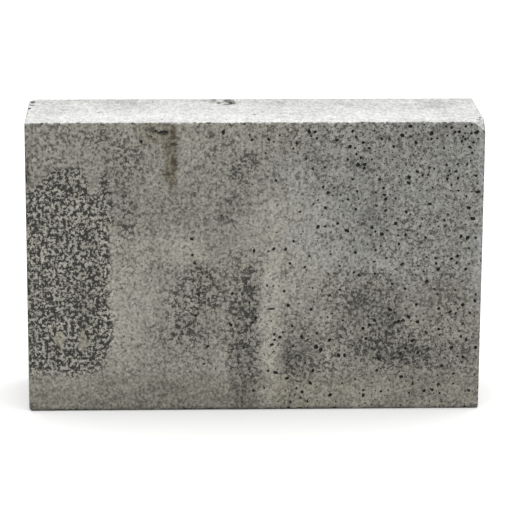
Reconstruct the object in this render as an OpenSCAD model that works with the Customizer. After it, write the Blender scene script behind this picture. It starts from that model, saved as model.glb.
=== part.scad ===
// Solid concrete block for walls and footings, cast in one piece, standing on its long narrow face.
// Millimetres. +X runs along the length, +Y from the front face to the back face, +Z up.
// The origin is the middle of the face that the block stands on.

/* [Block] */
// Length, left to right
block_length = 390; // [290:1:490]
// Thickness, front face to back face
block_thickness = 100; // [75:1:200]
// Height as it stands
block_height = 255; // [190:1:300]

/* [Worn edges] */
// Radius of the two long edges of the top face
upper_edge_r = 1.2; // [0.5:0.1:6]
// Radius of the two long edges that the block stands on
lower_edge_r = 2.2; // [0.5:0.1:6]
// Radius of the four upright edges
upright_edge_r = 1.2; // [0.5:0.1:6]
// Radius of the lower left edge, front to back
lower_left_r = 4; // [1:0.1:8]
// Radius of the lower right edge, front to back
lower_right_r = 2.8; // [1:0.1:8]
// Radius of the upper right edge, front to back
upper_right_r = 1.5; // [1:0.1:8]
// Radius of the upper left edge, front to back
upper_left_r = 1.5; // [1:0.1:8]

/* [Broken corner, front upper right] */
// Length that the break takes off the front top edge
break_along = 9; // [5:0.5:20]
// Length that the break takes off the right top edge
break_back = 12; // [5:1:60]
// Height that the break takes off the right upright edge
break_down = 6; // [5:0.5:20]

/* [Spall in the top face, at the back] */
// Width of the scoop, along the length
spall_width = 16; // [8:0.5:30]
// Depth of the scoop below the top face
spall_depth = 3; // [1:0.25:6]
// Distance of the scoop's middle from the left end
spall_from_left = 176; // [40:1:250]
// Distance of the scoop's middle from the back face
spall_from_back = 13; // [4:0.5:40]

/* [Air holes in the front face] */
// Radius of the wide air holes
wide_hole_r = 1.9; // [1:0.1:3]
// Radius of the middling air holes
middle_hole_r = 1.6; // [1:0.1:3]
// Radius of the narrow air holes
narrow_hole_r = 1.3; // [0.5:0.1:3]

/* [Hidden] */
$fn = 64;
concrete_grey = [0.50, 0.49, 0.46];
// How far a cutter reaches past the surface that it cuts
reach = 10;
// Radius of the ball whose cap has the scoop's width and depth
spall_r = (pow(spall_width / 2, 2) + pow(spall_depth, 2)) / (2 * spall_depth);
// Places of the air holes, as shares of the front face's length and height from its lower left corner
wide_holes = [[0.882, 0.961], [0.723, 0.855], [0.879, 0.451], [0.636, 0.224], [0.647, 0.212]];
middle_holes = [[0.738, 0.855], [0.785, 0.737], [0.756, 0.639], [0.567, 0.565], [0.823, 0.51], [0.81, 0.306],
                [0.828, 0.314], [0.823, 0.196], [0.772, 0.137], [0.91, 0.086]];
narrow_holes = [[0.426, 0.682], [0.492, 0.941], [0.582, 0.91], [0.61, 0.875], [0.633, 0.945], [0.897, 0.067]];

// What a square corner loses when it is rounded: the corner is at the origin, and the material
// lies towards +X and +Y.
module corner_waste(r) {
    difference() {
        translate([-reach, -reach]) square(r + reach);
        translate([r, r]) circle(r);
    }
}

// A rectangle with rounded corners, centred on X and standing on the X axis.
// The radii run anticlockwise from the lower left corner.
module worn_outline(width, height, radii) {
    corners = [[-width / 2, 0], [width / 2, 0], [width / 2, height], [-width / 2, height]];
    difference() {
        translate(corners[0]) square([width, height]);
        for (i = [0:3]) translate(corners[i]) rotate(90 * i) corner_waste(radii[i]);
    }
}

// The outline that shows from the front, carried through the thickness.
module front_outline() {
    radii = [lower_left_r, lower_right_r, upper_right_r, upper_left_r];
    translate([0, block_thickness / 2 + reach, 0]) rotate([90, 0, 0])
        linear_extrude(block_thickness + 2 * reach) worn_outline(block_length, block_height, radii);
}

// The outline that shows from an end, carried along the length.
module end_outline() {
    radii = [lower_edge_r, lower_edge_r, upper_edge_r, upper_edge_r];
    translate([-block_length / 2 - reach, 0, 0]) rotate([90, 0, 90])
        linear_extrude(block_length + 2 * reach) worn_outline(block_thickness, block_height, radii);
}

// The outline that shows from above, carried up the height.
module top_outline() {
    radii = [for (i = [0:3]) upright_edge_r];
    translate([0, -block_thickness / 2, -reach])
        linear_extrude(block_height + 2 * reach) worn_outline(block_length, block_thickness, radii);
}

// Everything beyond the plane that meets the three edges of the front upper right corner.
module broken_corner() {
    corner = [block_length / 2, -block_thickness / 2, block_height];
    outward = [1 / break_along, -1 / break_back, 1 / break_down];
    tilt = acos(outward.z / norm(outward));
    turn = atan2(outward.y, outward.x);
    size = 2 * (break_along + break_back + break_down);
    translate(corner - [break_along, 0, 0]) rotate([0, tilt, turn])
        translate([-size / 2, -size / 2, 0]) cube(size);
}

// The ball that takes the scoop out of the top face.
module top_spall() {
    translate([spall_from_left - block_length / 2, block_thickness / 2 - spall_from_back,
               block_height - spall_depth + spall_r]) sphere(spall_r);
}

// Balls that leave half-round air holes in the front face.
module air_holes(places, r) {
    for (place = places)
        translate([(place[0] - 0.5) * block_length, -block_thickness / 2, place[1] * block_height]) sphere(r);
}

module concrete_block() {
    color(concrete_grey) difference() {
        intersection() {
            front_outline();
            end_outline();
            top_outline();
        }
        broken_corner();
        top_spall();
        air_holes(wide_holes, wide_hole_r);
        air_holes(middle_holes, middle_hole_r);
        air_holes(narrow_holes, narrow_hole_r);
    }
}

concrete_block();
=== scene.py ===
import math

import bmesh
import bpy
import numpy as np
from mathutils import Matrix, Vector, noise
from mathutils.bvhtree import BVHTree


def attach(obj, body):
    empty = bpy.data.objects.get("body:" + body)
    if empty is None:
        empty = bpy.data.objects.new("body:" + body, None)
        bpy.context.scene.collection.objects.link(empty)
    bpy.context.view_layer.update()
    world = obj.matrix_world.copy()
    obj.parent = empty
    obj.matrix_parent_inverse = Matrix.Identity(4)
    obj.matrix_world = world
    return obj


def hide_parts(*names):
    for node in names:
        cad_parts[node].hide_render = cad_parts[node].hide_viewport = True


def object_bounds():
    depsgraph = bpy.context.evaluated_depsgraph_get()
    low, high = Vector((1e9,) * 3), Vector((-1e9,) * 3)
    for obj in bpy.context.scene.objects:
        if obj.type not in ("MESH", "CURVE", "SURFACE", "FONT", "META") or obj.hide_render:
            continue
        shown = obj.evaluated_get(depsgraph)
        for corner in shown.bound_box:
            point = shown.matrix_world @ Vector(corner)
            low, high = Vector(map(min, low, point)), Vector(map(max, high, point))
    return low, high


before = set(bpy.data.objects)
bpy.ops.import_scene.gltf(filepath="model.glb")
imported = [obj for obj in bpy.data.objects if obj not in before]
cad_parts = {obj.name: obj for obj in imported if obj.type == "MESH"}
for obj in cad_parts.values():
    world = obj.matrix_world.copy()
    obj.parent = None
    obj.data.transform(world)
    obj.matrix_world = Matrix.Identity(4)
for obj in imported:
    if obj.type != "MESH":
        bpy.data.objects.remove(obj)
cadLow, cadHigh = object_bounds()
scene = bpy.context.scene
mm = 0.001
print("frame loaded, CAD box", [round(v, 4) for v in (*cadLow, *cadHigh)])

# grid that is laid over the CAD solid, mm
skinGrid = {
    "cell": 3.5,
    "edgeLines": (0.0, 0.3, 0.7, 1.2, 2.2, 4.0),   # grid lines near each edge, distance from it
    "edgeBand": 14,                                # how far from an edge the solid is worn
    "roughFrom": 0.4,                              # bare places above this get a finer grid
    "roughCuts": 3,
    "sharpAngle": 42,                              # degrees from which an edge shows as sharp
}

# what the casting left in the skin, mm
castSkin = {
    "Wave Depth": 0.4, "Wave Length": 70.0,
    "Ripple Depth": 0.2, "Ripple Length": 9.0,
    "Rough Depth": 0.5, "Rough Size": 3.1,
    "Hole Spacing": 4.4, "Hole Radius": 1.6,
    "Nick Spacing": 2.6, "Nick Radius": 1.7,
    "Seed": 11,
}

# large air holes, where the solid has them: radius in mm,
# places as shares of the front face's length and height
frontHoles = {
    "wide": dict(radius=1.9, places=(
        (0.882, 0.961), (0.723, 0.855), (0.879, 0.451), (0.636, 0.224), (0.647, 0.212))),
    "middle": dict(radius=1.6, places=(
        (0.738, 0.855), (0.785, 0.737), (0.756, 0.639), (0.567, 0.565), (0.823, 0.51),
        (0.81, 0.306), (0.828, 0.314), (0.823, 0.196), (0.772, 0.137), (0.91, 0.086))),
    "narrow": dict(radius=1.3, places=(
        (0.426, 0.682), (0.492, 0.941), (0.582, 0.91), (0.61, 0.875), (0.633, 0.945), (0.897, 0.067))),
}

# small air holes of the upper right: radius and places (x, z), mm
smallHoles = {
    "radius": 1.25,
    "places": ((166, 250), (178, 251), (169, 246), (183, 245), (176, 242), (178, 240),
               (175, 238), (185, 237), (149, 240), (160, 232), (184, 228), (172, 218),
               (180, 218), (148, 215), (147, 209), (165, 212), (164, 208), (188, 208)),
}

# places of the top face: middle (x, y) and half size in mm; raw is freshly broken, fine gets a finer grid
topPatches = {
    "scoopArea": dict(at=(-23, 35), half=(17, 14), fine=1.0),
    "scoopWall": dict(at=(-20.4, 43.2), half=(4.6, 3.0), soft=0.2, raw=0.95),
    "scoopEnd": dict(at=(-16.8, 40.3), half=(2.6, 2.8), raw=1.0),
    "scoopTip": dict(at=(-16.3, 28.3), half=(2.2, 2.8), raw=1.0),
    # a dark line along the scoop's near edge
    "scoopRim": dict(at=(-21.5, 26), half=(4.2, 2.8), raw=1.0),
    "scoopSide": dict(at=(-29.3, 31.5), half=(2.1, 5.0), raw=0.85),
    "scoopBottom": dict(at=(-19.5, 33.5), half=(7, 5.5), raw=0.75),
    "smear": dict(at=(-34, 37.5), half=(5, 5.5), raw=0.5),
    "smearFar": dict(at=(-42, 41), half=(4, 5.5), raw=0.4),
    "smearStroke": dict(at=(-33, 43), half=(2, 6), raw=0.85),
    "frontSmear": dict(at=(76, -37), half=(6, 5), raw=0.1),
}

# upper corners that are worn further than the solid's:
# the side (x, y) of each, and what the wear takes off its three edges, mm
wornCorners = {
    "frontRight": dict(side=(1, -1), off=(10, 14, 9.5)),
    "backLeft": dict(side=(-1, 1), off=(5, 10, 4)),
}

# broken bits: middle and half size in mm
chips = {
    "dash": dict(at=(14, -50, 91), half=(4.2, 1.2, 1.0)),
    "flake": dict(at=(-78, -50, 246.2), half=(5.2, 0.9, 2.3)),
    "flakeTip": dict(at=(-84.5, -50, 247.5), half=(2.6, 0.8, 1.3)),
    "flakeSpot": dict(at=(-88, -50, 242.6), half=(1.2, 0.8, 1.2)),
    "backLeft": dict(at=(-191.5, 37, 255), half=(2.0, 7.0, 0.9)),
    "backLeft2": dict(at=(-191.5, 24, 255), half=(2.2, 3.0, 1.6)),
    "backLeft3": dict(at=(-193.5, 11, 255), half=(1.9, 4.0, 1.8)),
    "scoopSide": dict(at=(-29, 33, 255), half=(2.2, 3.0, 0.7)),
    "topPit": dict(at=(0, -16, 255), half=(1.8, 2.5, 1.0)),
    "cornerBite": dict(at=(192, -33, 255), half=(1.3, 3.5, 0.8)),
    "rightEdge": dict(at=(195, -50, 34), half=(1.3, 1.3, 3.0)),
    "rightEdge2": dict(at=(195, -50, 20), half=(1.4, 1.4, 2.0)),
    "frontEdge": dict(at=(-180, -50, 255), half=(1.2, 1.5, 1.6)),
    "leftEdge": dict(at=(-194.5, -50, 206), half=(1.3, 1.4, 3.6)),
    "leftEdge2": dict(at=(-194.5, -50, 174), half=(1.3, 1.4, 2.6)),
}

# patches of the front face: middle (x, z) and half size in mm, turn in degrees, and what each adds:
# bare is a skin that came off, flecks are small and dark, tone is lighter or darker, stain is brown,
# warm is a yellower or bluer grey; soft is how gently the patch ends, and square how boxy it is
frontPatches = {
    "roughLeft": dict(at=(-161, 116), half=(41, 89), square=6, soft=0.18, bare=1.0, tone=0.36),
    "roughLeftTop": dict(at=(-162, 197), half=(20, 20), square=3, soft=0.2, bare=0.95, tone=0.12),
    "roughRightTop": dict(at=(-127, 203), half=(5.5, 13), flecks=0.4, bare=0.7, tone=-0.05),
    "roughDark": dict(at=(-155, 197), half=(11, 9), bare=0.3, tone=-0.25),
    "roughDark2": dict(at=(-147, 94), half=(12, 22), bare=0.35, tone=-0.25),
    "roughDark3": dict(at=(-174, 160), half=(12, 16), bare=0.1, tone=-0.1),
    "tanSpot": dict(at=(-167.5, 64), half=(3.4, 5.5), bare=-0.75, warm=0.7, tone=-0.2, stain=0.1),
    "tanSpot2": dict(at=(-148, 64), half=(2.8, 7.5), bare=-0.75, warm=0.7, tone=-0.2, stain=0.1),
    "secondPatch": dict(at=(-113, 175), half=(11, 20), flecks=0.38, bare=0.25, tone=-0.16),
    "upperShade": dict(at=(-109, 214), half=(15, 20), flecks=0.15, tone=-0.06),
    "brownRun": dict(at=(-72.4, 229), half=(5.2, 27), square=6, soft=0.1,
                     flecks=0.1, tone=-0.12, stain=0.42, warm=0.4),
    "runTop": dict(at=(-69.6, 247), half=(2.4, 6), soft=0.2, tone=-0.15, stain=0.75, warm=0.2),
    "runOlive": dict(at=(-74, 233), half=(3, 6), stain=0.3, warm=0.7),
    "runMiddle": dict(at=(-71, 222), half=(4, 12), soft=0.2, stain=0.25, warm=0.4),
    "runFoot": dict(at=(-72.5, 208.5), half=(5.5, 6), tone=-0.04, stain=0.3, warm=0.6),
    "runEnd": dict(at=(-70, 198), half=(4.5, 9), tone=-0.08, stain=0.2, warm=0.4),
    "brownRunTop": dict(at=(-86, 246), half=(14, 10), tone=-0.04, stain=0.2, warm=0.5),
    "runSpot": dict(at=(-69, 236), half=(2.8, 1.3), soft=0.3, tone=-0.5, stain=0.6),
    "runSpot2": dict(at=(-69.2, 219), half=(2.0, 4.0), soft=0.3, tone=-0.45, stain=0.8, warm=0.4),
    "runSpot3": dict(at=(-74, 210.5), half=(1.3, 1.3), soft=0.3, tone=-0.5, stain=0.5),
    "paleTop": dict(at=(-51, 234), half=(12, 17), flecks=-0.1, tone=0.1),
    "leaningStreak": dict(at=(-11, 214), half=(10, 15), turn=-25, flecks=0.25, tone=-0.12),
    "leaningStreakFoot": dict(at=(-21, 182), half=(9, 17), turn=-15, flecks=0.25, tone=-0.1),
    "paleBelt": dict(at=(-68, 144), half=(34, 13), square=3, flecks=-0.22, tone=0.12),
    "paleLeft": dict(at=(-108, 94), half=(21, 52), square=3, flecks=-0.14, tone=0.225),
    "darkMiddle": dict(at=(-59, 96), half=(13, 36), turn=-20, flecks=0.36, tone=-0.03),
    "darkMiddle2": dict(at=(-40, 108), half=(12, 18), turn=15, flecks=0.35, tone=-0.06),
    "darkMiddleFoot": dict(at=(-45, 66), half=(24, 14), flecks=0.2, tone=-0.03),
    "darkColumnTop": dict(at=(-4, 114), half=(8, 20), flecks=0.4, tone=-0.12),
    "darkKnot": dict(at=(-9, 95), half=(16, 13), flecks=0.22, tone=-0.03),
    "darkColumn": dict(at=(-10, 44), half=(13, 46), square=3, flecks=0.38, tone=-0.18),
    "paleSliver": dict(at=(-30, 49), half=(7, 21), flecks=-0.2, tone=0.12),
    "paleColumn": dict(at=(14, 88), half=(9, 58), flecks=-0.3, tone=0.3),
    "paleField": dict(at=(34, 163), half=(34, 34), flecks=-0.22, tone=0.19),
    "paleDiagonal": dict(at=(46, 118), half=(13, 38), turn=-42, flecks=-0.3, tone=0.16),
    "paleSlant": dict(at=(97, 134), half=(26, 7), turn=-28, flecks=-0.2, tone=0.12),
    "paleSlantFoot": dict(at=(134, 92), half=(7, 26), turn=12, flecks=-0.1, tone=0.06),
    "darkSlope": dict(at=(96, 84), half=(30, 42), flecks=0.22, tone=-0.11),
    "darkSlopeFoot": dict(at=(122, 58), half=(28, 18), turn=-15, flecks=0.17, tone=-0.05),
    "darkSlopeCore": dict(at=(93, 99), half=(12, 11), flecks=0.1, tone=-0.12),
    "darkSlopeCore2": dict(at=(118, 82), half=(11, 10), flecks=0.08, tone=-0.1),
    "darkBelt": dict(at=(150, 48), half=(42, 12), square=3, flecks=0.2, tone=-0.12),
    "darkFoot": dict(at=(41, 45), half=(20, 20), flecks=0.1, tone=-0.2),
    "darkFootCore": dict(at=(31, 44), half=(9, 14), flecks=0.08, tone=-0.18),
    "smoothFoot": dict(at=(-30, 12), half=(230, 19), square=6, flecks=-0.3, tone=-0.16, warm=0.3),
    "shade": dict(at=(90, 219), half=(9, 9), flecks=0.2, tone=-0.1),
    "shade2": dict(at=(95, 167), half=(9, 10), flecks=0.15, tone=-0.08),
    "shade3": dict(at=(55, 214), half=(10, 10), flecks=0.1, tone=-0.06),
    "upperLeft": dict(at=(-140, 240), half=(62, 18), square=3, flecks=0.04, tone=-0.03),
    "upperMiddle": dict(at=(-42, 222), half=(28, 36), square=3, tone=-0.03),
    "lowerRight": dict(at=(156, 62), half=(50, 55), square=3, tone=-0.1),
    "coolRight": dict(at=(125, 195), half=(95, 75), square=3, warm=-0.6),
    "footLine": dict(at=(0, 2), half=(260, 9), square=6, tone=-0.05),
    "footLeft": dict(at=(-130, 18), half=(80, 16), square=4, tone=-0.04),
    "footPale": dict(at=(-106, 32), half=(18, 14), flecks=-0.1, tone=0.1),
    "footRight": dict(at=(100, 12), half=(90, 12), square=4, tone=0.12),
    "rightRim": dict(at=(194, 170), half=(3.2, 84), square=4, flecks=-0.2, tone=0.1, warm=-0.4),
    "leftRim": dict(at=(-194, 208), half=(3.2, 27), square=4, flecks=0.2, tone=-0.2),
    "leftRimSpot": dict(at=(-192.5, 207), half=(2.2, 5), tone=-0.25),
    "leftStroke": dict(at=(-181.7, 251.5), half=(5, 1.2), turn=-40, soft=0.4, tone=-0.35),
    "leftSpot": dict(at=(-172, 252), half=(1.6, 1.3), soft=0.4, tone=-0.45),
}

# patches of the sides that the photo doesn't show
backPatches = {
    "roughRight": dict(at=(110, 150), half=(40, 62), square=3, bare=0.8, tone=0.02),
    "roughFoot": dict(at=(-60, 45), half=(70, 24), flecks=0.35, tone=-0.05),
    "paleField": dict(at=(-20, 165), half=(55, 45), turn=20, flecks=-0.2, tone=0.07),
    "darkSlant": dict(at=(-130, 150), half=(22, 70), turn=18, flecks=0.3, tone=-0.06),
}
endPatches = {
    "roughBelt": dict(at=(8, 95), half=(34, 40), flecks=0.35, tone=-0.04),
    "paleTop": dict(at=(-6, 200), half=(40, 34), flecks=-0.2, tone=0.06),
}


# shared helpers for node trees

def plug(tree, value, socket):
    if isinstance(value, bpy.types.NodeSocket):
        tree.links.new(value, socket)
    else:
        socket.default_value = value


def place(tree, kind, inputs=None, **settings):
    made = tree.nodes.new(kind)
    for key, value in settings.items():
        setattr(made, key, value)
    for name, value in (inputs or {}).items():
        plug(tree, value, next(s for s in made.inputs if s.name == name and s.enabled))
    return made


def calc(tree, how, *values):
    made = place(tree, "ShaderNodeMath", operation=how)
    for socket, value in zip(made.inputs, values):
        plug(tree, value, socket)
    return made.outputs[0]


def spread(tree, value, low, high, toLow=0.0, toHigh=1.0, shape="LINEAR"):
    made = place(tree, "ShaderNodeMapRange", interpolation_type=shape)
    for socket, part in zip(made.inputs, (value, low, high, toLow, toHigh)):
        plug(tree, part, socket)
    return made.outputs[0]


def cloud(tree, where, size, detail=2.0, roughness=0.5):
    return place(tree, "ShaderNodeTexNoise", {
        "Vector": where, "Scale": 1.0 / size, "Detail": detail, "Roughness": roughness}).outputs["Fac"]


def blend(tree, share, first, second, how="MIX"):
    made = place(tree, "ShaderNodeMix", data_type="RGBA", blend_type=how)
    plug(tree, share, made.inputs[0])
    plug(tree, first, made.inputs[6])
    plug(tree, second, made.inputs[7])
    return made.outputs[2]


# the skin: a grid wrapped round the CAD solid

def gridLines(low, high):
    near = np.array(skinGrid["edgeLines"])
    count = round((high - low - 2 * near[-1]) / skinGrid["cell"])
    inner = np.linspace(low + near[-1], high - near[-1], count + 1)[1:-1]
    return np.concatenate([low + near, inner, (high - near)[::-1]])


def gridBox(lines):
    last = [len(line) - 1 for line in lines]
    index = {}
    points = []
    faces = []

    def corner(key):
        if key not in index:
            index[key] = len(points)
            points.append([lines[axis][key[axis]] for axis in range(3)])
        return index[key]

    for axis in range(3):
        u, v = (axis + 1) % 3, (axis + 2) % 3
        for side in (0, last[axis]):
            for i in range(last[u]):
                for j in range(last[v]):
                    ring = []
                    for di, dj in ((0, 0), (1, 0), (1, 1), (0, 1)):
                        key = [0, 0, 0]
                        key[axis], key[u], key[v] = side, i + di, j + dj
                        ring.append(corner(tuple(key)))
                    faces.append(ring if side else ring[::-1])
    return points, faces


def boxSkin():
    points, faces = gridBox([gridLines(lo / mm, hi / mm) for lo, hi in zip(cadLow, cadHigh)])
    mesh = bpy.data.meshes.new("concreteBlock")
    mesh.from_pydata([Vector(p) * mm for p in points], [], faces)
    mesh.update()
    return mesh


# the skin is laid on the solid at its edges and over the top; the flat sides are there already
def layOnSolid(mesh):
    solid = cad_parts["concrete_block"].data
    tree = BVHTree.FromPolygons([v.co for v in solid.vertices], [tuple(p.vertices) for p in solid.polygons])
    for vertex in mesh.vertices:
        toPlanes = sorted(min(p - lo, hi - p) for p, lo, hi in zip(vertex.co, cadLow, cadHigh))
        if toPlanes[1] < skinGrid["edgeBand"] * mm or vertex.co.z > cadHigh.z - mm:
            vertex.co = tree.find_nearest(vertex.co)[0]
    for corner in wornCorners.values():
        sides = (*corner["side"], 1)
        tip = Vector([high if side > 0 else low for side, low, high in zip(sides, cadLow, cadHigh)])
        outward = Vector([side / (off * mm) for side, off in zip(sides, corner["off"])])
        for vertex in mesh.vertices:
            beyond = (1 - outward.dot(tip - vertex.co)) / outward.length
            if beyond > 0:
                vertex.co -= outward.normalized() * beyond
    mesh.update()


# painted attributes: where the skin is rough, pale, stained, dusty or full of holes

# how they vary over the skin: sizes and spans in mm, the rest shares and strengths
skinVaries = {
    "slow": (26, 3.1), "quick": (9, 8.7), "broad": (60, 21.3),     # each wobble's size and its shift
    "slowRagged": 0.22, "quickRagged": 0.14, "topRagged": 0.3,     # outlines of the patches
    "soft": 0.3,
    "facing": (0.4, 0.8), "topFacing": (0.3, 0.8), "cornerFacing": (0.35, 0.6),
    "flecks": 0.45, "slowFlecks": 0.16, "broadFlecks": 0.14, "topFlecks": 0.3,
    "tone": -0.005, "broadTone": 0.05, "topToneAndLight": 0.08, "topBackTone": -0.19, "topBackSpan": (-30, 40),
    "slowWarm": 0.15, "broadWarm": 0.12,
    "holes": 0.45, "broadHoles": 0.35, "topHoles": 0.1,
    "leftHoles": -0.5, "rightHoles": 0.6, "rightSpan": (-90, 140),
    "lowHoles": 0.55, "highSpan": (20, 120),
    "lowerLeftHoles": -0.2, "lowerLeftUp": (20, 70), "lowerLeftAlong": (-60, 60),
    "edgeTurn": (0.03, 0.15), "innerSpan": (1, 30),
    "footShadeAndDirtHeight": 2.8,                                               # height of the painted shade and dirt along the foot
    "dustEnd": 1.6, "dustFade": (1, 4),                            # how the dust and the painted top light end at the top's edges
    "cornerDustAndLight": 1.6, "cornerSpan": (9, 13),
}


def smooth(values, low, high):
    t = np.clip((values - low) / (high - low), 0, 1)
    return t * t * (3 - 2 * t)


def wobble(points, size, shift):
    return np.array([noise.noise(Vector(p) / size + Vector((shift, shift, shift))) for p in points])


def patchMask(across, up, patch, ragged):
    turn = math.radians(patch.get("turn", 0))
    u = across - patch["at"][0]
    v = up - patch["at"][1]
    along = (u * math.cos(turn) + v * math.sin(turn)) / patch["half"][0]
    upward = (v * math.cos(turn) - u * math.sin(turn)) / patch["half"][1]
    power = patch.get("square", 2)
    far = (np.abs(along) ** power + np.abs(upward) ** power) ** (1 / power)
    soft = patch.get("soft", skinVaries["soft"])
    # small patches are more ragged for their size, and crisp ones less
    torn = ragged * 5 / min(patch["half"]) ** 0.5 * min(1, soft / skinVaries["soft"])
    return 1 - smooth(far + torn, 1 - soft, 1 + soft)


def readSkin(mesh):
    points = np.empty(len(mesh.vertices) * 3, np.float32)
    normals = np.empty_like(points)
    mesh.vertices.foreach_get("co", points)
    mesh.vertices.foreach_get("normal", normals)
    return points.reshape(-1, 3) / mm, normals.reshape(-1, 3)


def skinPaint(points, normals):
    vary = skinVaries
    x, y, z = points.T
    slow = wobble(points, *vary["slow"])
    quick = wobble(points, *vary["quick"])
    broad = wobble(points, *vary["broad"])
    ragged = vary["slowRagged"] * slow + vary["quickRagged"] * quick
    sides = {"front": (x, -normals[:, 1], frontPatches), "back": (-x, normals[:, 1], backPatches),
             "left": (-y, -normals[:, 0], endPatches), "right": (y, normals[:, 0], endPatches)}
    flecks = vary["flecks"] + vary["slowFlecks"] * slow + vary["broadFlecks"] * broad
    tone = vary["broadTone"] * broad + vary["tone"]
    stain = np.zeros(len(points))
    bare = np.zeros(len(points))
    warm = vary["slowWarm"] * slow + vary["broadWarm"] * broad
    for across, facing, patches in sides.values():
        seen = smooth(facing, *vary["facing"])
        for patch in patches.values():
            mask = seen * patchMask(across, z, patch, ragged)
            bare += mask * patch.get("bare", 0)
            flecks += mask * patch.get("flecks", 0)
            tone += mask * patch.get("tone", 0)
            stain += mask * patch.get("stain", 0)
            warm += mask * patch.get("warm", 0)
    # the top has fewer flecks and is lighter, partly as painted light from above, and darker towards its
    # back
    top = smooth(normals[:, 2], *vary["topFacing"])
    flecks = np.clip(flecks * (1 + (vary["topFlecks"] - 1) * top), 0, 1)
    tone += top * (vary["topToneAndLight"] + vary["topBackTone"] * smooth(y, *vary["topBackSpan"]))
    # the front has few air holes on the left and many on the right, and fewest in the lower left
    front = smooth(-normals[:, 1], *vary["facing"])
    rightward = smooth(x, *vary["rightSpan"])
    upward = smooth(z, *vary["highSpan"])
    low = 1 - smooth(z, *vary["lowerLeftUp"])
    left = 1 - smooth(x, *vary["lowerLeftAlong"])
    byPlace = vary["leftHoles"] + (vary["rightHoles"] - vary["leftHoles"]) * rightward
    holes = vary["holes"] + vary["broadHoles"] * broad
    holes += front * byPlace * (vary["lowHoles"] + (1 - vary["lowHoles"]) * upward)
    holes += vary["lowerLeftHoles"] * front * low * left
    holes *= (1 + (vary["topHoles"] - 1) * top) * (1 - np.clip(bare, 0, 1))
    edge = smooth(1 - np.abs(normals).max(1), *vary["edgeTurn"])
    toPlanes = np.minimum(points - np.array(cadLow) / mm, np.array(cadHigh) / mm - points)
    inner = smooth(np.sort(toPlanes, axis=1)[:, 1], *vary["innerSpan"])
    # a dark line along the foot, where the block meets the floor: painted shade, with some dirt
    footShadeHere = smooth(0.5 + 0.5 * slow + 0.6 * quick, 0, 0.5)
    raw = smooth(vary["footShadeAndDirtHeight"] - z, 0, vary["footShadeAndDirtHeight"] / 2) * footShadeHere
    fine = np.maximum(np.clip(bare, 0, 1), 2 * stain)
    for patch in topPatches.values():
        mask = top * patchMask(x, y, patch, vary["topRagged"] * ragged)
        raw = np.maximum(raw, mask * patch.get("raw", 0))
        fine = np.maximum(fine, mask * patch.get("fine", 0))
    # dust lies on the top and a little over its edges, and the worn corners' upward faces take it too; with
    # it the top is painted paler, partly as painted light from above
    overEdge = np.minimum(toPlanes[:, 0], toPlanes[:, 1]) - (cadHigh.z / mm - z)
    dust = smooth(overEdge, -vary["dustEnd"], vary["dustEnd"]) + smooth(overEdge, *vary["dustFade"])
    dust -= smooth(-overEdge, *vary["dustFade"])
    for corner in wornCorners.values():
        tip = np.array((*corner["side"], 1)) * (x.max(), y.max(), z.max())
        away = smooth(np.linalg.norm(points - tip, axis=1), *vary["cornerSpan"])
        near = smooth(normals[:, 2], *vary["cornerFacing"]) * (1 - away)
        dust += near * np.maximum(0, vary["cornerDustAndLight"] - dust)
    return {"bare": np.clip(bare, 0, 1), "flecks": flecks, "tone": tone, "stain": np.clip(stain, 0, 1),
            "dust": dust, "holes": np.clip(holes, 0, 1), "edge": edge, "inner": inner, "raw": raw,
            "warm": warm, "fine": fine}


def refineRough(mesh):
    fine = skinPaint(*readSkin(mesh))["fine"]
    work = bmesh.new()
    work.from_mesh(mesh)
    rough = [f for f in work.faces if min(fine[v.index] for v in f.verts) > skinGrid["roughFrom"]]
    bmesh.ops.subdivide_edges(work, edges=list({e for f in rough for e in f.edges}),
                              cuts=skinGrid["roughCuts"], use_grid_fill=True)
    work.to_mesh(mesh)
    work.free()


def paintSkin(mesh):
    for name, values in skinPaint(*readSkin(mesh)).items():
        mesh.attributes.new(name, "FLOAT", "POINT").data.foreach_set("value", values.astype(np.float32))


# places of the large holes and the broken bits, as loose points for Geometry Nodes

def makeMarks():
    size = (cadHigh - cadLow) / mm
    marks = [(chip["at"], chip["half"]) for chip in chips.values()]
    for group in frontHoles.values():
        for along, up in group["places"]:
            at = cadLow / mm + Vector((along * size.x, 0, up * size.z))
            marks.append((at, [group["radius"]] * 3))
    for across, up in smallHoles["places"]:
        marks.append(((across, cadLow.y / mm, up), [smallHoles["radius"]] * 3))
    mesh = bpy.data.meshes.new("marks")
    mesh.from_pydata([Vector(at) * mm for at, half in marks], [], [])
    sizes = np.array([half for at, half in marks], np.float32)
    mesh.attributes.new("half", "FLOAT_VECTOR", "POINT").data.foreach_set("vector", sizes.ravel())
    return bpy.data.objects.new("marks", mesh)


# Geometry Nodes: waves, rough places, air holes, edge nicks and broken bits

def randomFloat(tree, low, high, seed):
    made = place(tree, "FunctionNodeRandomValue", {"Min": low, "Max": high, "Seed": seed},
                 data_type="FLOAT")
    return next(s for s in made.outputs if s.enabled)


def stone(tree, divisions, roughness):
    ball = place(tree, "GeometryNodeMeshIcoSphere", {"Radius": 1.0, "Subdivisions": divisions})
    spot = place(tree, "GeometryNodeInputPosition").outputs[0]
    swell = spread(tree, cloud(tree, spot, 0.9, 0.0), 0.2, 0.8, 1 - roughness, 1 + roughness)
    grown = place(tree, "ShaderNodeVectorMath", {"Scale": swell}, operation="SCALE")
    plug(tree, spot, grown.inputs[0])
    return place(tree, "GeometryNodeSetPosition", {
        "Geometry": ball.outputs["Mesh"], "Position": grown.outputs[0]}).outputs[0]


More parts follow.
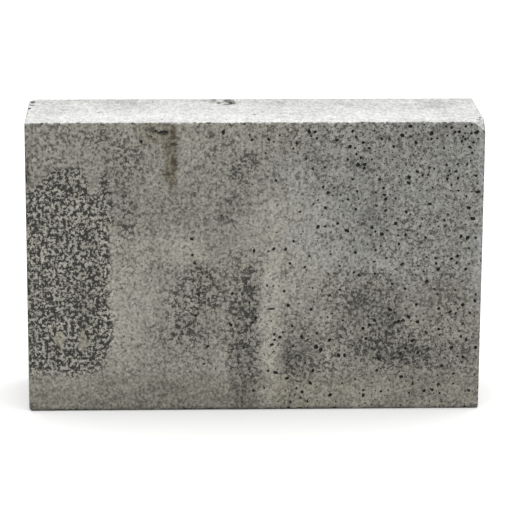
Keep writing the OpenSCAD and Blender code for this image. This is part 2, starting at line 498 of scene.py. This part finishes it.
def sprinkle(tree, skin, density, spacing, cutter, size, seed):
    gap = calc(tree, "MULTIPLY", spacing, mm)
    crowded = calc(tree, "DIVIDE", 2.0, calc(tree, "POWER", gap, 2.0))
    spots = place(tree, "GeometryNodeDistributePointsOnFaces", {
        "Mesh": skin, "Distance Min": gap, "Density Factor": density, "Seed": seed,
        "Density Max": crowded}, distribute_method="POISSON")
    spin = place(tree, "FunctionNodeAxisAngleToRotation", {
        "Axis": (0, 0, 1), "Angle": randomFloat(tree, 0.0, 2 * math.pi, calc(tree, "ADD", seed, 1))})
    turned = place(tree, "FunctionNodeRotateRotation", {
        "Rotation": spots.outputs["Rotation"], "Rotate By": spin.outputs[0]}, rotation_space="LOCAL")
    scale = place(tree, "ShaderNodeVectorMath", {"Scale": mm}, operation="SCALE")
    plug(tree, size, scale.inputs[0])
    return place(tree, "GeometryNodeInstanceOnPoints", {
        "Points": spots.outputs["Points"], "Instance": cutter,
        "Rotation": turned.outputs[0], "Scale": scale.outputs[0]}).outputs[0]


def vector(tree, *parts):
    made = place(tree, "ShaderNodeCombineXYZ")
    for socket, part in zip(made.inputs, parts):
        plug(tree, part, socket)
    return made.outputs[0]


def painted(tree, name):
    made = place(tree, "GeometryNodeInputNamedAttribute", {"Name": name}, data_type="FLOAT")
    return made.outputs["Attribute"]


# pattern of the flaked places: its noise, how its level follows the amount, and its clumps in mm
flakePattern = {
    "detail": 2.0, "roughness": 0.75, "level": 0.61, "fall": -0.116,
    "clumpSize": 8.0, "clumpDepth": 0.45, "base": 1.22, "reliefSoft": 0.107,
}


def labyrinth(tree, where, amount, size, soft):
    field = place(tree, "ShaderNodeTexNoise", {
        "Vector": where, "Scale": calc(tree, "DIVIDE", 1.0, size),
        "Detail": flakePattern["detail"], "Roughness": flakePattern["roughness"]}).outputs["Fac"]
    level = calc(tree, "MULTIPLY_ADD", amount, flakePattern["fall"], flakePattern["level"])
    return spread(tree, field, calc(tree, "SUBTRACT", level, soft), calc(tree, "ADD", level, soft),
                  shape="SMOOTHSTEP")


def roughAmount(tree, where, bare):
    depth = flakePattern["clumpDepth"]
    clumps = spread(tree, cloud(tree, where, flakePattern["clumpSize"]), 0.25, 0.75, -depth, depth)
    return calc(tree, "MULTIPLY", bare, calc(tree, "ADD", clumps, flakePattern["base"]))


# shapes of the air holes and nicks, as shares of their radius; a higher power makes large ones rarer
cutShapes = {
    "holeRange": (0.37, 1.1), "holePower": 5.0, "holeLong": (0.85, 1.35), "holeDeep": 1.05,
    "holeCrowd": (0.95, 1.05),
    "nickRange": (0.4, 1.2), "nickPower": 2.0, "nickLong": 1.5, "nickDeep": 0.7,
    "uneven": 0.3,
}


def castTree():
    tree = bpy.data.node_groups.new("castSkin", "GeometryNodeTree")
    tree.interface.new_socket("Geometry", in_out="INPUT", socket_type="NodeSocketGeometry")
    for name in castSkin:
        kind = "NodeSocketInt" if name == "Seed" else "NodeSocketFloat"
        tree.interface.new_socket(name, in_out="INPUT", socket_type=kind)
    tree.interface.new_socket("Marks", in_out="INPUT", socket_type="NodeSocketObject")
    tree.interface.new_socket("Concrete", in_out="INPUT", socket_type="NodeSocketMaterial")
    tree.interface.new_socket("Geometry", in_out="OUTPUT", socket_type="NodeSocketGeometry")
    given = tree.nodes.new("NodeGroupInput").outputs
    seed = given["Seed"]

    # waves, ripples and rough places only ever go inwards, so the block stays inside its CAD box
    spot = place(tree, "ShaderNodeVectorMath", {"Scale": 1 / mm}, operation="SCALE")
    plug(tree, place(tree, "GeometryNodeInputPosition").outputs[0], spot.inputs[0])
    depth = 0.0
    for name in ("Wave", "Ripple"):
        flow = place(tree, "ShaderNodeTexNoise", {
            "Vector": spot.outputs[0], "Detail": 2.0,
            "Scale": calc(tree, "DIVIDE", 1.0, given[name + " Length"])}).outputs["Fac"]
        push = calc(tree, "MULTIPLY", spread(tree, flow, 0.3, 0.7), given[name + " Depth"])
        depth = calc(tree, "ADD", depth, push)
    depth = calc(tree, "MULTIPLY", depth, painted(tree, "inner"))
    bare = painted(tree, "bare")
    amount = roughAmount(tree, spot.outputs[0], bare)
    worn = labyrinth(tree, spot.outputs[0], amount, given["Rough Size"], flakePattern["reliefSoft"])
    rough = calc(tree, "MULTIPLY", worn, spread(tree, bare, 0.4, 0.8))
    depth = calc(tree, "MULTIPLY_ADD", rough, given["Rough Depth"], depth)
    sink = place(tree, "ShaderNodeVectorMath", {
        "Scale": calc(tree, "MULTIPLY", depth, -mm)}, operation="SCALE")
    plug(tree, place(tree, "GeometryNodeInputNormal").outputs[0], sink.inputs[0])
    skin = place(tree, "GeometryNodeSetPosition", {
        "Geometry": given["Geometry"], "Offset": sink.outputs[0]}).outputs[0]

    # air holes are round and of many sizes, few of them large
    chance = randomFloat(tree, 0.0, 1.0, calc(tree, "ADD", seed, 5))
    rare = calc(tree, "POWER", chance, cutShapes["holePower"])
    radius = calc(tree, "MULTIPLY", given["Hole Radius"],
                  spread(tree, rare, 0.0, 1.0, *cutShapes["holeRange"]))
    crowd = spread(tree, painted(tree, "holes"), 0.4, 1.0, *cutShapes["holeCrowd"])
    radius = calc(tree, "MULTIPLY", radius, crowd)
    long = calc(tree, "MULTIPLY", radius, randomFloat(tree, *cutShapes["holeLong"], 3))
    holeSize = vector(tree, long, radius, calc(tree, "MULTIPLY", radius, cutShapes["holeDeep"]))
    holes = sprinkle(tree, skin, painted(tree, "holes"), given["Hole Spacing"],
                     stone(tree, 2, cutShapes["uneven"]), holeSize, seed)

    # nicks along the worn edges
    rare = calc(tree, "POWER", randomFloat(tree, 0.0, 1.0, 13), cutShapes["nickPower"])
    bite = calc(tree, "MULTIPLY", given["Nick Radius"],
                spread(tree, rare, 0.0, 1.0, *cutShapes["nickRange"]))
    nickSize = vector(tree, calc(tree, "MULTIPLY", bite, cutShapes["nickLong"]), bite,
                      calc(tree, "MULTIPLY", bite, cutShapes["nickDeep"]))
    nicks = sprinkle(tree, skin, painted(tree, "edge"), given["Nick Spacing"],
                     stone(tree, 1, cutShapes["uneven"]), nickSize, calc(tree, "ADD", seed, 40))

    # large holes and broken bits at their own places
    marks = place(tree, "GeometryNodeObjectInfo", {"Object": given["Marks"]}).outputs["Geometry"]
    markSize = place(tree, "ShaderNodeVectorMath", {"Scale": mm}, operation="SCALE")
    plug(tree, place(tree, "GeometryNodeInputNamedAttribute", {"Name": "half"},
                     data_type="FLOAT_VECTOR").outputs["Attribute"], markSize.inputs[0])
    spots = place(tree, "GeometryNodeMeshToPoints", {"Mesh": marks}).outputs[0]
    bits = place(tree, "GeometryNodeInstanceOnPoints", {
        "Points": spots, "Instance": stone(tree, 3, cutShapes["uneven"]),
        "Scale": markSize.outputs[0]}).outputs[0]

    cut = place(tree, "GeometryNodeMeshBoolean", operation="DIFFERENCE", solver="MANIFOLD")
    tree.links.new(skin, cut.inputs["Mesh 1"])
    for cutters in (holes, nicks, bits):
        tree.links.new(cutters, cut.inputs["Mesh 2"])
    result = cut.outputs["Mesh"]

    # the cut mesh takes its paint from the whole skin, and its recess from the distance to it; the material
    # darkens holes by this recess as painted shade
    for name in ("bare", "flecks", "tone", "stain", "warm", "dust", "raw", "holes"):
        taken = place(tree, "GeometryNodeSampleNearestSurface", {
            "Mesh": skin, "Value": painted(tree, name)}, data_type="FLOAT").outputs["Value"]
        result = place(tree, "GeometryNodeStoreNamedAttribute", {
            "Geometry": result, "Name": name, "Value": taken}, data_type="FLOAT", domain="POINT").outputs[0]
    near = place(tree, "GeometryNodeProximity", {"Geometry": skin}, target_element="FACES")
    away = calc(tree, "DIVIDE", near.outputs["Distance"], mm)
    result = place(tree, "GeometryNodeStoreNamedAttribute", {
        "Geometry": result, "Name": "recess", "Value": away},
        data_type="FLOAT", domain="POINT").outputs[0]
    result = place(tree, "GeometryNodeRealizeInstances", {"Geometry": result}).outputs[0]
    result = place(tree, "GeometryNodeSetMaterial", {
        "Geometry": result, "Material": given["Concrete"]}).outputs[0]
    tree.links.new(result, tree.nodes.new("NodeGroupOutput").inputs["Geometry"])
    return tree


# material of the concrete

# colours are linear, sizes in mm, the rest shares and strengths
concreteLook = {
    "paste": (0.409, 0.399, 0.353, 1),     # pale cement skin
    "fleckAndHollowShade": (0.058, 0.056, 0.05, 1),      # thin places between the grains, dark partly as painted shade in the hollows
    "pitShadeAndDirt": (0.03, 0.029, 0.027, 1),        # painted shade and dirt inside air holes, darker with depth
    "topPit": (0.11, 0.11, 0.107, 1),      # painted shade and dirt inside holes in the top face
    "raw": (0.10, 0.098, 0.092, 1),        # fresh break, and the painted shade along the foot
    "rust": (0.15, 0.128, 0.088, 1),       # brown run
    "coolTint": (0.97, 1.0, 1.09, 1), "warmTint": (1.05, 1.0, 0.87, 1),
    "dust": (0.645, 0.645, 0.635, 1),      # pale top face: dust and bleaching, partly painted light from above
    "dustAndLitFleck": (0.33, 0.33, 0.33, 1),
    # clouds of tone: size and strength of each
    "clouds": {"broad": (38.0, 0.12), "blotches": (9.0, 0.12), "mottle": (4.3, 0.12),
               "streaks": (2.4, 0.1)},
    "streakStretch": (1.0, 1.0, 0.06), "dragStretch": (1.0, 0.28, 1.0),
    "grain": 2.1, "grainDepth": 0.29, "grainShift": (137.3, 59.7, 211.1), "dustGrain": 0.14,
    # flecks: size, softness and darkness; a pair is for places with few and with many
    "coarse": 3.1, "coarseSoft": 0.075,
    "fine": 2.7, "fineSoft": (0.12, 0.062), "fineDark": (0.6, 0.95), "fineOnBare": 0.35,
    "fineClumps": 9.0, "fineClumpDepth": 0.4, "dustFlecks": 0.6,
    # pinholes, dark dots of painted shade: spacing, and the rest as shares
    "pinholes": 3.4, "pinRadius": (0.12, 0.34), "pinCore": 0.55, "pinShade": 0.85, "pinShare": (0.16, 0.5),
    # stain, dust with painted top light, breaks with the painted shade along the foot, and painted shade
    # and dirt inside holes
    "stainClouds": 4.0, "stainShare": (0.2, 1.0),
    "dustEdge": 3.2, "dustRagged": 0.7, "dustSpan": (0.36, 0.64), "rawGrain": (1.0, 0.6),
    "pitSpan": (0.05, 0.7), "pitShadeStrength": 0.95,
    # surface
    "specular": 0.25, "roughness": (0.8, 0.95), "roughClouds": 5.0,
    "bump": 0.6, "bumpDepth": 0.4, "bumpSize": 1.2, "bumpSunk": -0.6,
}


def shaderGroup(name, inputs):
    tree = bpy.data.node_groups.new(name, "ShaderNodeTree")
    for title, kind in inputs.items():
        tree.interface.new_socket(title, in_out="INPUT", socket_type=kind)
    tree.interface.new_socket("Mask", in_out="OUTPUT", socket_type="NodeSocketFloat")
    return tree, tree.nodes.new("NodeGroupInput").outputs, tree.nodes.new("NodeGroupOutput").inputs["Mask"]


def fleckGroup():
    tree, given, mask = shaderGroup("concreteFlecks", {
        "Position": "NodeSocketVector", "Amount": "NodeSocketFloat", "Size": "NodeSocketFloat",
        "Softness": "NodeSocketFloat"})
    pattern = labyrinth(tree, given["Position"], given["Amount"], given["Size"], given["Softness"])
    tree.links.new(pattern, mask)
    return tree


def pinholeGroup():
    tree, given, mask = shaderGroup("concretePinholes", {
        "Position": "NodeSocketVector", "Share": "NodeSocketFloat", "Spacing": "NodeSocketFloat"})
    cells = place(tree, "ShaderNodeTexVoronoi", {
        "Vector": given["Position"], "Scale": calc(tree, "DIVIDE", 1.0, given["Spacing"])})
    chance = place(tree, "ShaderNodeSeparateColor", {"Color": cells.outputs["Color"]})
    radius = spread(tree, chance.outputs["Red"], 0.0, 1.0, *concreteLook["pinRadius"])
    core = calc(tree, "MULTIPLY", radius, concreteLook["pinCore"])
    dot = spread(tree, cells.outputs["Distance"], core, radius, 1.0, 0.0)
    there = calc(tree, "LESS_THAN", chance.outputs["Green"], given["Share"])
    tree.links.new(calc(tree, "MULTIPLY", dot, there), mask)
    return tree


def useGroup(tree, group, **inputs):
    made = place(tree, "ShaderNodeGroup", node_tree=group)
    for name, value in inputs.items():
        plug(tree, value, made.inputs[name])
    return made.outputs["Mask"]


def concreteMaterial():
    look = concreteLook
    material = bpy.data.materials.new("concrete")
    material.use_nodes = True
    tree = material.node_tree
    shader = tree.nodes["Principled BSDF"]
    shader.inputs["Specular IOR Level"].default_value = look["specular"]
    spot = place(tree, "ShaderNodeVectorMath", {"Scale": 1 / mm}, operation="SCALE")
    plug(tree, place(tree, "ShaderNodeTexCoord").outputs["Object"], spot.inputs[0])
    where = spot.outputs[0]
    paint = {name: place(tree, "ShaderNodeAttribute", attribute_name=name).outputs["Fac"]
             for name in ("bare", "flecks", "tone", "stain", "warm", "dust", "raw", "holes", "recess")}

    # tone: broad clouds, smaller blotches, faint upright streaks and fine grain
    upright = place(tree, "ShaderNodeMapping", {"Vector": where, "Scale": look["streakStretch"]}).outputs[0]
    apart = place(tree, "ShaderNodeMapping", {"Vector": where, "Location": look["grainShift"]}).outputs[0]
    across = place(tree, "ShaderNodeMapping", {"Vector": where, "Scale": look["dragStretch"]}).outputs[0]
    tone = calc(tree, "ADD", 1.0, paint["tone"])
    for name, (size, strength) in look["clouds"].items():
        field = cloud(tree, upright if name == "streaks" else where, size)
        tone = calc(tree, "MULTIPLY_ADD", spread(tree, field, 0.25, 0.75, -1.0, 1.0), strength, tone)
    grain = spread(tree, cloud(tree, apart, look["grain"], 1.0), 0.3, 0.7, -1.0, 1.0)
    drag = spread(tree, cloud(tree, across, look["grain"], 1.0), 0.3, 0.7, -1.0, 1.0)
    grained = calc(tree, "MULTIPLY_ADD", grain, look["grainDepth"], tone)
    colour = blend(tree, 1.0, look["paste"], grained, "MULTIPLY")
    rusted = blend(tree, 1.0, look["rust"], grained, "MULTIPLY")
    dragged = calc(tree, "MULTIPLY_ADD", drag, look["dustGrain"], tone)
    # the pale top colour: dust, partly painted light from above
    dustedAndLit = blend(tree, 1.0, look["dust"], dragged, "MULTIPLY")
    tint = blend(tree, spread(tree, paint["warm"], -1.0, 1.0), look["coolTint"], look["warmTint"])
    colour = blend(tree, 1.0, colour, tint, "MULTIPLY")

    # dark flecks, coarse in the rough places and fine everywhere, and pinholes; their dark is partly
    # painted shade in the hollows
    flecks, pinholes = fleckGroup(), pinholeGroup()
    clumps = spread(tree, cloud(tree, where, look["fineClumps"]), 0.25, 0.75,
                    -look["fineClumpDepth"], look["fineClumpDepth"])
    coarse = useGroup(tree, flecks, Position=where, Amount=roughAmount(tree, where, paint["bare"]),
                      Size=look["coarse"], Softness=look["coarseSoft"])
    coarse = calc(tree, "MULTIPLY", coarse, paint["bare"])
    fine = useGroup(tree, flecks, Position=where, Amount=calc(tree, "ADD", paint["flecks"], clumps),
                    Size=look["fine"], Softness=spread(tree, paint["flecks"], 0.3, 0.8, *look["fineSoft"]))
    fine = calc(tree, "MULTIPLY", fine, spread(tree, paint["bare"], 0.2, 0.9, 1.0, look["fineOnBare"]))
    fine = calc(tree, "MULTIPLY", fine, spread(tree, paint["flecks"], 0.2, 0.8, *look["fineDark"]))
    fleckAndHollowShade = calc(tree, "MAXIMUM", coarse, fine)
    pin = useGroup(tree, pinholes, Position=where, Spacing=look["pinholes"],
                   Share=spread(tree, paint["holes"], 0.0, 1.0, *look["pinShare"]))
    fleckAndHollowShade = calc(tree, "MAXIMUM", fleckAndHollowShade, calc(tree, "MULTIPLY", pin, look["pinShade"]))
    colour = blend(tree, fleckAndHollowShade, colour, look["fleckAndHollowShade"])
    dustedAndLit = blend(tree, calc(tree, "MULTIPLY", fleckAndHollowShade, look["dustFlecks"]), dustedAndLit, look["dustAndLitFleck"])

    # brown run, pale top (dust, partly painted light from above), fresh breaks and the painted shade along
    # the foot, and painted shade and dirt inside holes
    soaked = spread(tree, cloud(tree, where, look["stainClouds"]), 0.3, 0.7, *look["stainShare"])
    colour = blend(tree, calc(tree, "MULTIPLY", paint["stain"], soaked), colour, rusted)
    ragged = spread(tree, cloud(tree, where, look["dustEdge"], 1.0), 0.3, 0.7,
                    -look["dustRagged"], look["dustRagged"])
    dustyAndLit = spread(tree, calc(tree, "ADD", paint["dust"], ragged), *look["dustSpan"], shape="SMOOTHSTEP")
    colour = blend(tree, dustyAndLit, colour, dustedAndLit)
    # fresh breaks, and the painted shade along the foot
    brokenAndFootShade = calc(tree, "MULTIPLY", paint["raw"], spread(tree, grain, -1.0, 1.0, *look["rawGrain"]))
    colour = blend(tree, brokenAndFootShade, colour, look["raw"])
    # painted shade, with some dirt, inside holes: darker the deeper they go
    pitShadeAndDirt = spread(tree, paint["recess"], *look["pitSpan"], 0.0, look["pitShadeStrength"], shape="SMOOTHSTEP")
    colour = blend(tree, pitShadeAndDirt, colour, blend(tree, paint["dust"], look["pitShadeAndDirt"], look["topPit"]))
    tree.links.new(colour, shader.inputs["Base Color"])
    matt = spread(tree, cloud(tree, where, look["roughClouds"]), 0.3, 0.7, *look["roughness"])
    tree.links.new(matt, shader.inputs["Roughness"])

    # fine bump: sand grains, with the flecks and pinholes sunk
    sand = cloud(tree, where, look["bumpSize"], 2.0)
    height = calc(tree, "MULTIPLY_ADD", calc(tree, "MAXIMUM", fine, pin), look["bumpSunk"], sand)
    bump = place(tree, "ShaderNodeBump", {
        "Strength": look["bump"], "Distance": look["bumpDepth"] * mm, "Height": height})
    tree.links.new(bump.outputs["Normal"], shader.inputs["Normal"])
    return material


concrete = concreteMaterial()
print("concrete material made")

mesh = boxSkin()
refineRough(mesh)
layOnSolid(mesh)
paintSkin(mesh)
block = bpy.data.objects.new("concreteBlock", mesh)
scene.collection.objects.link(block)
print("skin wrapped,", len(mesh.polygons), "faces")

marks = makeMarks()
modifier = block.modifiers.new("castSkin", "NODES")
modifier.node_group = castTree()
for item in modifier.node_group.interface.items_tree:
    if item.in_out == "INPUT" and item.name != "Geometry":
        modifier[item.identifier] = {**castSkin, "Marks": marks, "Concrete": concrete}[item.name]
cast = bpy.data.meshes.new_from_object(block.evaluated_get(bpy.context.evaluated_depsgraph_get()))
block.modifiers.remove(modifier)
bpy.data.objects.remove(marks)
block.data = cast
cast.shade_smooth()
cast.set_sharp_from_angle(angle=math.radians(skinGrid["sharpAngle"]))
cast.calc_loop_triangles()
print("skin cast,", len(cast.loop_triangles), "triangles")

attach(block, "root")
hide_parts("concrete_block")


# stage, light and camera

studio = {
    "floor": (0.95, 0.95, 0.95, 1), "floorGlow": 0.125, "floorBounce": (0.5, 0.5, 0.5, 1), "floorHalf": 6.0,
    "fill": 0.5, "overhead": 1.9, "overheadFrom": (0.1, 0.08, 1.0), "overheadFocus": 3.0,
}
photoView = {
    "aim": (-0.0001, -0.05, 0.1391), "azimuth": -2.194, "elevation": 14.9, "roll": 0.287,
    "distance": 2.265, "lens": 187.0,
}


def seenRay(tree):
    path = place(tree, "ShaderNodeLightPath").outputs
    mirrored = calc(tree, "MAXIMUM", path["Is Glossy Ray"], path["Is Transmission Ray"])
    return calc(tree, "MAXIMUM", path["Is Camera Ray"], mirrored)


def makeFloor():
    half = studio["floorHalf"]
    mesh = bpy.data.meshes.new("floor")
    corners = [(-half, -half, 0), (half, -half, 0), (half, half, 0), (-half, half, 0)]
    mesh.from_pydata(corners, [], [(0, 1, 2, 3)])
    floor = bpy.data.objects.new("floor", mesh)
    scene.collection.objects.link(floor)
    material = bpy.data.materials.new("floorWhite")
    material.use_nodes = True
    tree = material.node_tree
    shader = tree.nodes["Principled BSDF"]
    shader.inputs["Roughness"].default_value = 1.0
    shader.inputs["Specular IOR Level"].default_value = 0.0
    seen = seenRay(tree)
    tree.links.new(blend(tree, seen, studio["floorBounce"], studio["floor"]), shader.inputs["Base Color"])
    tree.links.new(calc(tree, "MULTIPLY", seen, studio["floorGlow"]), shader.inputs["Emission Strength"])
    shader.inputs["Emission Color"].default_value = (1, 1, 1, 1)
    mesh.materials.append(material)


def makeLight():
    world = bpy.data.worlds.new("studio")
    scene.world = world
    world.use_nodes = True
    tree = world.node_tree
    tree.nodes.clear()
    aim = Vector(studio["overheadFrom"]).normalized()
    toward = place(tree, "ShaderNodeVectorMath", operation="DOT_PRODUCT")
    plug(tree, place(tree, "ShaderNodeTexCoord").outputs["Generated"], toward.inputs[0])
    plug(tree, aim, toward.inputs[1])
    glow = calc(tree, "POWER", calc(tree, "MAXIMUM", toward.outputs["Value"], 0.0), studio["overheadFocus"])
    strength = calc(tree, "MULTIPLY_ADD", glow, studio["overhead"], studio["fill"])
    lamp = place(tree, "ShaderNodeBackground", {"Color": (1, 1, 1, 1), "Strength": strength})
    white = place(tree, "ShaderNodeBackground", {"Color": (1, 1, 1, 1), "Strength": 1.0})
    mix = place(tree, "ShaderNodeMixShader", {"Fac": seenRay(tree)})
    tree.links.new(lamp.outputs[0], mix.inputs[1])
    tree.links.new(white.outputs[0], mix.inputs[2])
    tree.links.new(mix.outputs[0], place(tree, "ShaderNodeOutputWorld").inputs["Surface"])


def makeCamera():
    azimuth, elevation = math.radians(photoView["azimuth"]), math.radians(photoView["elevation"])
    back = Vector((math.sin(azimuth) * math.cos(elevation), -math.cos(azimuth) * math.cos(elevation),
                   math.sin(elevation)))
    data = bpy.data.cameras.new("photoCamera")
    data.lens = photoView["lens"]
    data.sensor_width = 36.0
    camera = bpy.data.objects.new("photoCamera", data)
    roll = Matrix.Rotation(math.radians(photoView["roll"]), 3, "Z")
    turn = (-back).to_track_quat("-Z", "Y").to_matrix() @ roll
    eye = Vector(photoView["aim"]) + back * photoView["distance"]
    camera.matrix_world = Matrix.Translation(eye) @ turn.to_4x4()
    scene.collection.objects.link(camera)
    scene.camera = camera


makeFloor()
makeLight()
makeCamera()
scene.view_settings.view_transform = "Standard"
print("stage, light and camera made")
